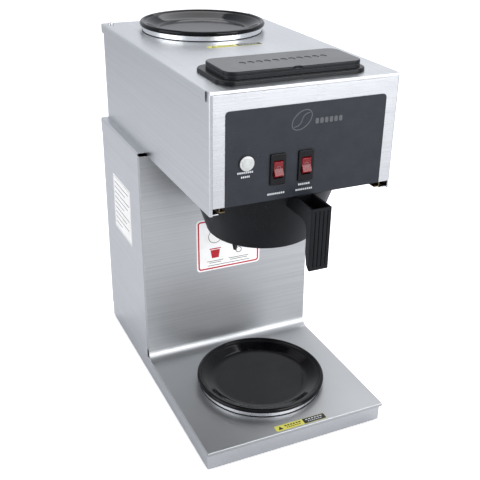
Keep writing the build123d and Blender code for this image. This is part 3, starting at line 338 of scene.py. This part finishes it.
def moulded_plastic(name, colour, rough, grain=0.04 * MM, edge=0.6 * MM, scale=1500.0, gloss=0.3, worn=0.35,
                    upper=0.0):
    """Moulded plastic or rubber with a fine grain, dusty clouds and lighter worn edges.

    grain is the depth of the grain and edge the radius of the worn edges. gloss is the specular level,
    worn how far edges take the dusty tone, and upper how much a painted sheen lightens the faces that look
    up.
    """
    dust = (0.4, 0.4, 0.4, 1)
    material, tree, shader, place = start_material(name)
    texture = fill_group(tree, moulded_grain, {"Place": place, "Scale": scale})
    marks = fill_group(tree, handling_marks, {"Place": place, "Size": 22.0})
    wear = fill_group(tree, edge_wear, {"Radius": edge, "Sharpness": 4.0})
    lighter = [1.6 * c + 0.003 for c in colour]
    dusty = [c + 0.07 for c in colour]
    sheen_tone = [c + upper for c in colour]
    tone = blend_colours(tree, texture.outputs["Cloud"], (*colour, 1), (*lighter, 1))
    # Painted sheen: faces that look up take a lighter tone.
    if upper:
        tone = blend_colours(tree, upward(tree), tone, (*sheen_tone, 1))
    tone = blend_colours(tree, sums(tree, "MULTIPLY", wear.outputs["Wear"], worn), tone, (*dusty, 1))
    tone = blend_colours(tree, sums(tree, "MULTIPLY", marks.outputs["Dust"], 0.25), tone, dust)
    fill_inputs(tree, shader, {
        "Specular IOR Level": gloss,
        "Base Color": tone,
        "Roughness": stretch(tree, marks.outputs["Smudge"], 0, 1, rough - 0.05, rough + 0.08),
        "Normal": bump(tree, texture.outputs["Height"], 0.5, grain, wear.outputs["Normal"]),
    })
    return material


def black_enamel():
    """Glossy porcelain enamel: deep black with faint orange peel, smudges and a little dust."""
    black, smudged, dust = (0.003, 0.003, 0.004, 1), (0.007, 0.007, 0.008, 1), (0.3, 0.3, 0.3, 1)
    material, tree, shader, place = start_material("black_enamel")
    marks = fill_group(tree, handling_marks, {"Place": place, "Size": 30.0})
    wear = fill_group(tree, edge_wear, {"Radius": 0.8 * MM, "Sharpness": 3.0})
    tone = blend_colours(tree, marks.outputs["Smudge"], black, smudged)
    fill_inputs(tree, shader, {
        "Base Color": blend_colours(tree, sums(tree, "MULTIPLY", marks.outputs["Dust"], 0.12), tone, dust),
        "Roughness": stretch(tree, marks.outputs["Smudge"], 0, 1, 0.07, 0.13),
        "Specular IOR Level": 0.27,
        "Normal": bump(tree, noise(tree, place, 260.0, 2.0), 0.15, 0.08 * MM, wear.outputs["Normal"]),
    })
    return material


def printed_vinyl(name, colour):
    """Printed vinyl sheet: even colour with faint yellowing and a slight texture."""
    rough = 0.45
    material, tree, shader, place = start_material(name)
    marks = fill_group(tree, handling_marks, {"Place": place, "Size": 35.0})
    aged = [0.93 * colour[0], 0.92 * colour[1], 0.88 * colour[2]]
    fill_inputs(tree, shader, {
        "Base Color": blend_colours(tree, marks.outputs["Smudge"], (*colour, 1), (*aged, 1)),
        "Roughness": stretch(tree, marks.outputs["Smudge"], 0, 1, rough - 0.06, rough + 0.08),
        "Normal": bump(tree, noise(tree, place, 1500.0, 2.0), 0.2, 0.03 * MM),
    })
    return material


def white_lens():
    """White, slightly translucent lens."""
    material, tree, shader, place = start_material("light_lens")
    cloud = noise(tree, place, 220.0, 2.0)
    fill_inputs(tree, shader, {
        "Base Color": blend_colours(tree, cloud, (0.46, 0.47, 0.46, 1), (0.60, 0.61, 0.60, 1)),
        "Roughness": stretch(tree, cloud, 0.3, 0.7, 0.08, 0.16),
        "Subsurface Weight": 0.3,
        "Subsurface Radius": (0.002, 0.002, 0.002),
        "Coat Weight": 0.5,
    })
    return material


def red_rocker():
    """Slightly translucent red rocker, brighter along its edges."""
    deep, clear, edge = (0.13, 0.005, 0.008, 1), (0.22, 0.010, 0.015, 1), (0.62, 0.07, 0.09, 1)
    material, tree, shader, place = start_material("red_rocker")
    cloud = noise(tree, place, 160.0, 2.0)
    wear = fill_group(tree, edge_wear, {"Radius": 0.7 * MM, "Sharpness": 4.0})
    tone = blend_colours(tree, cloud, deep, clear)
    fill_inputs(tree, shader, {
        "Base Color": blend_colours(tree, sums(tree, "MULTIPLY", wear.outputs["Wear"], 0.6), tone, edge),
        "Roughness": stretch(tree, cloud, 0.3, 0.7, 0.2, 0.3),
        "Normal": wear.outputs["Normal"],
        "Subsurface Weight": 0.15,
        "Subsurface Radius": (0.003, 0.0004, 0.0004),
    })
    return material


def fibre_blanket():
    """Off-white glass-fibre blanket with a matted surface."""
    material, tree, shader, place = start_material("insulation")
    mat = noise(tree, place, 260.0, 6.0, 0.75)
    fill_inputs(tree, shader, {
        "Base Color": blend_colours(tree, mat, (0.55, 0.52, 0.42, 1), (0.88, 0.86, 0.80, 1)),
        "Roughness": stretch(tree, mat, 0.2, 0.8, 0.8, 1.0),
        "Normal": bump(tree, mat, 0.8, 1.0 * MM),
    })
    return material


# Stretch of the brushed lines along X, Y and Z: the grain runs along the smallest.
along_x = (40, 7000, 7000)
along_y = (7000, 40, 7000)
up_the_tank = (9000, 9000, 60)
# Darkest and lightest tone of each brushed sheet.
steel_dark, steel_light = (0.55, 0.565, 0.58), (0.65, 0.665, 0.68)
# The deck's tones are darker than the other sheets': painted shade on the same steel.
deck_shaded_dark, deck_shaded_light = (0.42, 0.43, 0.44), (0.56, 0.57, 0.58)
# The front frame is brushed across, and its tones are a little darker than the other sheets': painted shade
# on the same steel.
frame_shaded_dark, frame_shaded_light = (0.50, 0.51, 0.525), (0.62, 0.63, 0.645)
tank_dark, tank_light = (0.55, 0.56, 0.57), (0.66, 0.67, 0.68)
# Depth of grain on parts smoother than the usual moulding.
fine, finest = 0.01 * MM, 0.005 * MM
finishes = {
    "stainless": brushed_steel("stainless", steel_dark, steel_light, 0.30, along_y),
    # The deck's faces that look up carry painted shade.
    "stainless_deck": brushed_steel("stainless_deck", deck_shaded_dark, deck_shaded_light, 0.46, along_x, top_shade=0.30),
    "stainless_top": brushed_steel("stainless_top", steel_dark, steel_light, 0.30, along_y),
    "control_plate": moulded_plastic("control_plate", (0.022, 0.025, 0.031), 0.42, fine, 0.3 * MM, 2500.0),
    "screw_steel": bright_metal("screw_steel", (0.62, 0.62, 0.62), 0.25),
    "rail_steel": bright_metal("rail_steel", (0.20, 0.155, 0.085), 0.34),
    "basket_plastic": moulded_plastic("basket_plastic", (0.006, 0.0065, 0.008), 0.34, gloss=0.25),
    "wire_chrome": bright_metal("wire_chrome", (0.78, 0.79, 0.80), 0.12),
    # The basin and the lid carry a painted sheen on their faces that look up.
    "basin_plastic": moulded_plastic("basin_plastic", (0.005, 0.0055, 0.007), 0.28, fine, upper=0.03),
    "lid_plastic": moulded_plastic("lid_plastic", (0.007, 0.008, 0.010), 0.33, upper=0.12),
    "silicone": moulded_plastic("silicone", (0.58, 0.56, 0.52), 0.4, fine, worn=0.1),
    "tank_steel": brushed_steel("tank_steel", tank_dark, tank_light, 0.33, up_the_tank),
    "heater_sheath": bright_metal("heater_sheath", (0.30, 0.26, 0.23), 0.42),
    "brass": bright_metal("brass", (0.74, 0.56, 0.26), 0.26),
    "copper": bright_metal("copper", (0.72, 0.38, 0.24), 0.3),
    "insulation": fibre_blanket(),
    "bakelite": moulded_plastic("bakelite", (0.03, 0.025, 0.022), 0.3, fine),
    "bushing_plastic": moulded_plastic("bushing_plastic", (0.012, 0.012, 0.012), 0.45),
    "light_lens": white_lens(),
    "switch_plastic": moulded_plastic("switch_plastic", (0.005, 0.005, 0.006), 0.2, finest, 0.4 * MM),
    "red_rocker": red_rocker(),
    "black_enamel": black_enamel(),
    "ring_chrome": bright_metal("ring_chrome", (0.90, 0.91, 0.93), 0.24),
    "element": bright_metal("element", (0.55, 0.55, 0.55), 0.45),
    "rubber": moulded_plastic("rubber", (0.010, 0.010, 0.011), 0.6, 0.06 * MM, worn=0.15),
    "label_white": printed_vinyl("label_white", (0.80, 0.80, 0.80)),
    "label_yellow": printed_vinyl("label_yellow", (0.58, 0.55, 0.11)),
}
# Nodes whose look differs from that of the other nodes in their slot.
own_finishes = {
    # The front panel's steel is darkened: painted shade.
    "front_panel": brushed_steel("front_frame_shaded", frame_shaded_dark, frame_shaded_light, 0.27, along_x),
    "instruction_label": printed_vinyl("card_white", (0.98, 0.98, 0.98)),
}
ink = {
    "black": printed_vinyl("ink_black", (0.010, 0.010, 0.011)),
    "red": printed_vinyl("ink_red", (0.50, 0.02, 0.035)),
    "grey": printed_vinyl("ink_grey", (0.16, 0.16, 0.17)),
    "faint": printed_vinyl("ink_faint", (0.10, 0.105, 0.115)),
    "pale": printed_vinyl("ink_pale", (0.55, 0.57, 0.59)),
}


def dress_cad_nodes():
    for entry in frame["record"]["subparts"]:
        cad = frame["nodes"][entry["node"]]
        cad.data.materials.clear()
        cad.data.materials.append(own_finishes.get(entry["node"], finishes[entry["material_slot"]]))


# ------------------------------------------------------------------ mesh helpers
def add_piece(name, mesh, material, body):
    piece = bpy.data.objects.new(name, mesh)
    bpy.context.scene.collection.objects.link(piece)
    mesh.materials.append(material)
    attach(piece, body)
    return piece


def mesh_from(name, work, smooth=False):
    bmesh.ops.recalc_face_normals(work, faces=work.faces)
    for face in work.faces:
        face.smooth = smooth
    mesh = bpy.data.meshes.new(name)
    work.to_mesh(mesh)
    work.free()
    return mesh


def rounded_outline(width, height, corner, steps=6, middle=(0, 0)):
    """Points round a rectangle with rounded corners."""
    points = []
    corners = ((1, 1, 0), (-1, 1, 90), (-1, -1, 180), (1, -1, 270))
    for side_x, side_y, start in corners:
        cx = side_x * (width / 2 - corner)
        cy = side_y * (height / 2 - corner)
        for step in range(steps + 1):
            angle = math.radians(start + 90 * step / steps)
            points.append((middle[0] + cx + corner * math.cos(angle),
                           middle[1] + cy + corner * math.sin(angle)))
    return points


def circle_outline(radius, steps=32, middle=(0, 0)):
    return [(middle[0] + radius * math.cos(2 * math.pi * step / steps),
             middle[1] + radius * math.sin(2 * math.pi * step / steps)) for step in range(steps)]


def plate_mesh(name, outlines, face, thickness):
    """Thin closed plates; outlines are lists of (right, up) points on the face."""
    work = bmesh.new()
    for outline in outlines:
        front = [work.verts.new(face @ Vector((x, y, thickness))) for x, y in outline]
        back = [work.verts.new(face @ Vector((x, y, 0))) for x, y in outline]
        work.faces.new(front)
        work.faces.new(back[::-1])
        for index in range(len(outline)):
            after = (index + 1) % len(outline)
            work.faces.new((front[index], back[index], back[after], front[after]))
    return mesh_from(name, work)


def band_mesh(name, pairs, face, thickness):
    """Thin closed bands, each between an outer and an inner outline with as many points."""
    work = bmesh.new()
    for outer, inner in pairs:
        loops = [[work.verts.new(face @ Vector((x, y, z))) for x, y in outline]
                 for outline, z in ((outer, thickness), (inner, thickness), (inner, 0), (outer, 0))]
        count = len(outer)
        for row in range(4):
            near, far = loops[row], loops[(row + 1) % 4]
            for index in range(count):
                after = (index + 1) % count
                work.faces.new((near[index], near[after], far[after], far[index]))
    return mesh_from(name, work)


def lathe_mesh(name, profile, face, steps=64):
    """Closed solid turned about the face's normal; profile is (radius, height) from axis to axis."""
    work = bmesh.new()
    rings = []
    for radius, height in profile:
        if radius < 1e-9:
            rings.append([work.verts.new(face @ Vector((0, 0, height)))])
        else:
            circle = circle_outline(radius, steps)
            rings.append([work.verts.new(face @ Vector((x, y, height))) for x, y in circle])
    for near, far in zip(rings, rings[1:]):
        for index in range(steps):
            after = (index + 1) % steps
            if len(near) == 1:
                work.faces.new((near[0], far[index], far[after]))
            elif len(far) == 1:
                work.faces.new((near[index], near[after], far[0]))
            else:
                work.faces.new((near[index], near[after], far[after], far[index]))
    return mesh_from(name, work, smooth=True)


def in_metres(points):
    return [(x * MM, y * MM) for x, y in points]


def facing(origin, right, up):
    """Matrix that puts (right, up, out) coordinates on a face of the brewer."""
    out = Vector(right).cross(Vector(up))
    turn = Matrix((Vector(right), Vector(up), out)).transposed().to_4x4()
    return Matrix.Translation(Vector(origin)) @ turn


# ------------------------------------------------------------------ printed marks
PRINT = 0.06 * MM            # thickness of printed ink
THIN_PRINT = 0.02 * MM       # thickness of the ink on the rating label


def print_shapes(name, outlines, face, colour, thickness=PRINT):
    add_piece(name, plate_mesh(name, outlines, face, thickness), ink[colour], "housing")


def print_bands(name, pairs, face, colour, thickness=PRINT):
    add_piece(name, band_mesh(name, pairs, face, thickness), ink[colour], "housing")


def front_face_at(x, z):
    """Face on the control plate's front, with its origin at x, z."""
    return facing((x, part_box("control_plate")[0].y, z), (1, 0, 0), (0, 0, 1))


def dashes(width, height, middle, count):
    """Row of plain short bars, centred on middle; all in millimetres."""
    filled, rounding = 0.7, 0.2
    pitch = width / count
    outlines = []
    for index in range(count):
        x = middle[0] + pitch * (index + 0.5 - count / 2)
        outlines.append(rounded_outline(filled * pitch * MM, height * MM, rounding * height * MM, 3,
                                        (x * MM, middle[1] * MM)))
    return outlines


# Rows of dashes under each control: width, middle x and z in millimetres, and number of dashes.
CONTROL_ROWS = {
    "light": ((18.4, -71.9, 368.2, 8), (10.4, -71.6, 363.4, 5)),
    "warmer_switch": ((20.7, -35.5, 339.6, 9),),
    "upper_switch": ((14.5, -2.1, 345.6, 6), (20.6, -2.0, 339.6, 9)),
}


def print_control_marks():
    """Rows of plain dashes, with no words, under the light and the switches."""
    dash_height = 2.2
    face = front_face_at(0, 0)
    for name, rows in CONTROL_ROWS.items():
        outlines = []
        for width, x, z, count in rows:
            outlines += dashes(width, dash_height, (x, z), count)
        print_shapes(f"{name}_dashes", outlines, face, "pale")


def leaning(points, lean):
    """Points turned anticlockwise by the angle lean."""
    return [(x * math.cos(lean) - y * math.sin(lean),
             x * math.sin(lean) + y * math.cos(lean)) for x, y in points]


def bean_outline(length, width, lean, steps=40):
    turns = [2 * math.pi * step / steps for step in range(steps)]
    return leaning([(length / 2 * math.cos(turn), width / 2 * math.sin(turn)) for turn in turns], lean)


def crease_outline(length, lean, half_width, steps=16):
    """Curved line down the middle of a coffee bean."""
    swing = 0.09 * length
    along = [2 * step / steps - 1 for step in range(steps + 1)]
    side = [(length / 2 * t, swing * math.sin(math.pi * t)) for t in along]
    loop = [(x, y + half_width) for x, y in side] + [(x, y - half_width) for x, y in reversed(side)]
    return leaning(loop, lean)


def print_bean():
    """Faint coffee bean with a row of plain dashes at its right, in the upper part of the control plate."""
    face = front_face_at(-8 * MM, 417 * MM)
    length, width, line = 27 * MM, 18 * MM, 1 * MM
    lean = math.radians(38)
    outer = bean_outline(length, width, lean)
    inner = bean_outline(length - 2 * line, width - 2 * line, lean)
    crease = crease_outline(length - 4 * line, lean, line / 2)
    print_bands("bean_outline", [(outer, inner)], face, "faint")
    print_shapes("bean_crease", [crease], face, "faint")
    print_shapes("bean_dashes", dashes(34, 6, (32, -3), 6), face, "faint")


def label_face():
    """Face of the care card, which leans back with the column front."""
    low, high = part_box("instruction_label")
    thick = 0.2 * MM
    bottom = Vector((0, low.y, low.z))
    top = Vector((0, high.y, high.z))
    up = Vector((0, top.y - bottom.y - thick, top.z - bottom.z)).normalized()
    centre = (bottom + top) / 2 + Vector((0, -thick / 2, 0))
    return facing(centre, (1, 0, 0), up)


# Drawings of the care card, in millimetres from its middle.
# Rings are x, y, outer radius, inner radius and steps; lines are x, y and length.
CARD_RINGS = ((-20, 12, 10, 9.2, 40), (15, 12, 10, 9.2, 40), (15, -14, 4.5, 3.4, 24))
CARD_LINES = ((-20, -24.5, 24), (-20, -27, 18), (15, -24.5, 30), (15, -27, 26), (0, -31, 62))


def print_care_card():
    """Red border, a red filter basket and grey lines of no words on the care card."""
    low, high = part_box("instruction_label")
    width, height = high.x - low.x, high.z - low.z
    face = label_face()
    margin = 4 * MM              # twice the border's width, and twice its distance from the card's edge
    border = (rounded_outline(width - margin, height - margin, 4 * MM),
              rounded_outline(width - 2 * margin, height - 2 * margin, 2.4 * MM))
    print_bands("care_card_border", [border], face, "red")
    cup = in_metres([(-27, -8), (-13, -8), (-15, -20), (-25, -20)])
    rim = rounded_outline(17 * MM, 1.6 * MM, 0.7 * MM, 3, (-20 * MM, -6.2 * MM))
    print_shapes("care_card_basket", [cup, rim], face, "red")
    drawings = []
    for x, y, outer, inner, steps in CARD_RINGS:
        middle = (x * MM, y * MM)
        drawings.append((circle_outline(outer * MM, steps, middle),
                         circle_outline(inner * MM, steps, middle)))
    print_bands("care_card_drawings", drawings, face, "grey")
    lines = [rounded_outline(length * MM, 0.9 * MM, 0.4 * MM, 3, (x * MM, y * MM))
             for x, y, length in CARD_LINES]
    print_shapes("care_card_lines", lines, face, "grey")


def print_rating_label():
    """Grey ruled lines and a frame on the white label of the left side."""
    low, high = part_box("rating_label")
    middle = (low + high) / 2
    face = facing((low.x, middle.y, middle.z), (0, -1, 0), (0, 0, 1))
    width, height = high.y - low.y, high.z - low.z
    ruled = (rounded_outline(width - 4 * MM, height - 4 * MM, 1.5 * MM),
             rounded_outline(width - 5 * MM, height - 5 * MM, 1.1 * MM))
    print_bands("rating_label_frame", [ruled], face, "grey", thickness=THIN_PRINT)
    lengths = (62, 48, 66, 58, 40, 64, 52, 60, 30)
    top_line, pitch = 30, 7.5
    lines = []
    for row, length in enumerate(lengths):
        centre = ((length - max(lengths)) / 2 * MM, (top_line - pitch * row) * MM)
        lines.append(rounded_outline(length * MM, 1.2 * MM, 0.5 * MM, 3, centre))
    print_shapes("rating_label_lines", lines, face, "grey", thickness=THIN_PRINT)


def print_hot_labels():
    """Black right part with pale dashes, and a triangle with dark dashes on the yellow, on each strip."""
    low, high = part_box("hot_surface_labels")
    width, depth, thick = 69.5 * MM, 9.8 * MM, 0.2 * MM
    margin = 0.4 * MM            # yellow left at the right end of the black part
    side = 3.2 * MM              # half the triangle's base
    # name, x, y and z of the strip's middle, and x where the black part starts
    places = (("lower", high.x - width / 2, low.y + depth / 2, low.z + thick, 10.2 * MM),
              ("upper", 0, high.y - depth / 2, high.z, 2.4 * MM))
    for name, x, y, z, split in places:
        face = facing((x, y, z), (1, 0, 0), (0, 1, 0))
        start, end = split - x, width / 2 - margin
        half = rounded_outline(end - start, depth - 0.6 * MM, 0.6 * MM, 3, ((start + end) / 2, 0))
        left = -width / 2 + 6.5 * MM
        triangle = [(left - side, -0.9 * side), (left + side, -0.9 * side), (left, 0.9 * side)]
        room = (start - left - side) / MM
        middle = (start + left + side) / 2 / MM
        dark = dashes(0.8 * room, 2.0, (middle, 1.6), 6) + dashes(0.7 * room, 1.4, (middle, -1.8), 7)
        print_shapes(f"{name}_label_black", [half, triangle] + dark, face, "black")
        over = facing((x, y, z + PRINT), (1, 0, 0), (0, 1, 0))
        room = (end - start) / MM
        middle = (start + end) / 2 / MM
        pale = dashes(0.8 * room, 1.6, (middle, 1.8), 6) + dashes(0.66 * room, 1.2, (middle, -1.6), 7)
        print_shapes(f"{name}_label_dashes", pale, over, "pale")


# ------------------------------------------------------------------ warmer plates
# Half section of a dished plate: inset from the rim, and height over the face it stands on, in millimetres.
WARMER_TOP = ((26, 2.7), (22.5, 2.9), (20, 3.7), (17.5, 4.9), (10, 9.0), (8, 10.0), (6.9, 10.3), (6.2, 10.3))
WARMER_UNDER = ((7.4, 8.6), (18.4, 2.9), (22, 1.4), (24, 1.2))
WARMER_CREST = 12.5          # top of the bead over that face
WARMER_BEAD = 3.0            # radius of the rolled bead
WARMER_STUD = (3, -15)       # radius of the stud, and how far down it goes


def warmer_profile(radius):
    """Outline from axis to axis: dish, wall, groove, bead, and back under to the stud."""
    flat, bottom = WARMER_TOP[0][1], WARMER_UNDER[-1][1]
    stud_radius, stud_end = WARMER_STUD
    top = [(0, flat)] + [(radius - inset, height) for inset, height in WARMER_TOP]
    bead = []
    for step in range(19):
        angle = math.radians(150 - 15 * step)
        bead.append((radius - WARMER_BEAD + WARMER_BEAD * math.cos(angle),
                     WARMER_CREST - WARMER_BEAD + WARMER_BEAD * math.sin(angle)))
    under = [(radius - inset, height) for inset, height in WARMER_UNDER]
    stud = [(stud_radius, bottom), (stud_radius, stud_end), (0, stud_end)]
    return in_metres(top + bead + under + stud)


def build_warmer_plates():
    """Enamelled plates with a groove inside the bead, in place of the plain CAD ones."""
    for node in ("lower_warmer_plate", "upper_warmer_plate"):
        low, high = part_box(node)
        middle = (low + high) / 2
        radius = (high.x - low.x) / 2 / MM
        panel = high.z - WARMER_CREST * MM
        face = facing((middle.x, middle.y, panel), (1, 0, 0), (0, 1, 0))
        name = f"{node}_enamel"
        mesh = lathe_mesh(name, warmer_profile(radius), face, 160)
        piece = add_piece(name, mesh, finishes["black_enamel"], "housing")
        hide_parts(node)


# ------------------------------------------------------------------ ready light and rockers
def build_lens():
    """Ridged round lens of the ready light, in place of its plain CAD solid."""
    low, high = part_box("ready_light_lens")
    middle = (low + high) / 2
    radius = (high.x - low.x) / 2
    deep = high.y - low.y
    face = facing((middle.x, high.y, middle.z), (1, 0, 0), (0, 0, 1))
    ridges = 5
    # Outline from axis to axis, as shares of the radius and of the depth: rim, then the ridges.
    shares = [(0, 0), (0.985, 0), (1, 0.12), (1, 0.34), (0.95, 0.46), (0.80, 0.52), (0.74, 0.50)]
    for ridge in range(ridges):
        r = 0.70 * (1 - ridge / ridges)
        lift = 0.62 + 0.30 * (1 - r ** 2)
        shares += [(r, lift), (r - 0.05, lift + 0.08), (r - 0.09, lift - 0.04)]
    shares.append((0, 0.95))
    profile = [(r * radius, height * deep) for r, height in shares]
    mesh = lathe_mesh("ready_lens", profile, face)
    lens = add_piece("ready_lens", mesh, finishes["light_lens"], "housing")
    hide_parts("ready_light_lens")


def half_ring(radius, width, side, steps=14):
    """Closed outline of half a ring above (side 1) or below (side -1) the middle; sizes in millimetres."""
    gap = 0.35                   # from the middle to the half ring's ends
    turns = [math.radians(180 * step / steps) for step in range(steps + 1)]
    loop = []
    for r, order in ((radius, turns), (radius - width, turns[::-1])):
        loop += [(r * math.cos(turn), side * (gap + r * math.sin(turn))) for turn in order]
    return in_metres(loop)


def rocker_marks():
    """Half a dark ring on each face of the two rockers."""
    crest = 4.8 * MM             # from the pin to the valley between the rocker's two faces
    dish, reach = 2.2, 9.6       # how far each face rises over its length
    pin_depth, pin_height = 4.2 * MM, 367 * MM
    off, thick = 0.02 * MM, 0.12 * MM
    tilt = Matrix.Rotation(math.radians(-12), 3, "X")
    for node in ("warmer_rocker", "upper_warmer_rocker"):
        low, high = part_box(node)
        pin = Vector(((low.x + high.x) / 2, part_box("warmer_switch_housing")[0].y + pin_depth, pin_height))
        for label, side in (("upper", 1), ("lower", -1)):
            up = Vector((0, -side * dish, reach)).normalized()
            out = Vector((1, 0, 0)).cross(up)
            start = pin + tilt @ (Vector((0, -crest, 0)) + out * off)
            face = facing(start, (1, 0, 0), tilt @ up)
            name = f"{node}_{label}_ring"
            ring = half_ring(2.6, 0.5, side)
            add_piece(name, plate_mesh(name, [ring], face, thick), ink["grey"], node)


make_camera()
make_studio()
make_floor()
dress_cad_nodes()
print_control_marks()
print_bean()
print_care_card()
print_rating_label()
print_hot_labels()
build_warmer_plates()
build_lens()
rocker_marks()
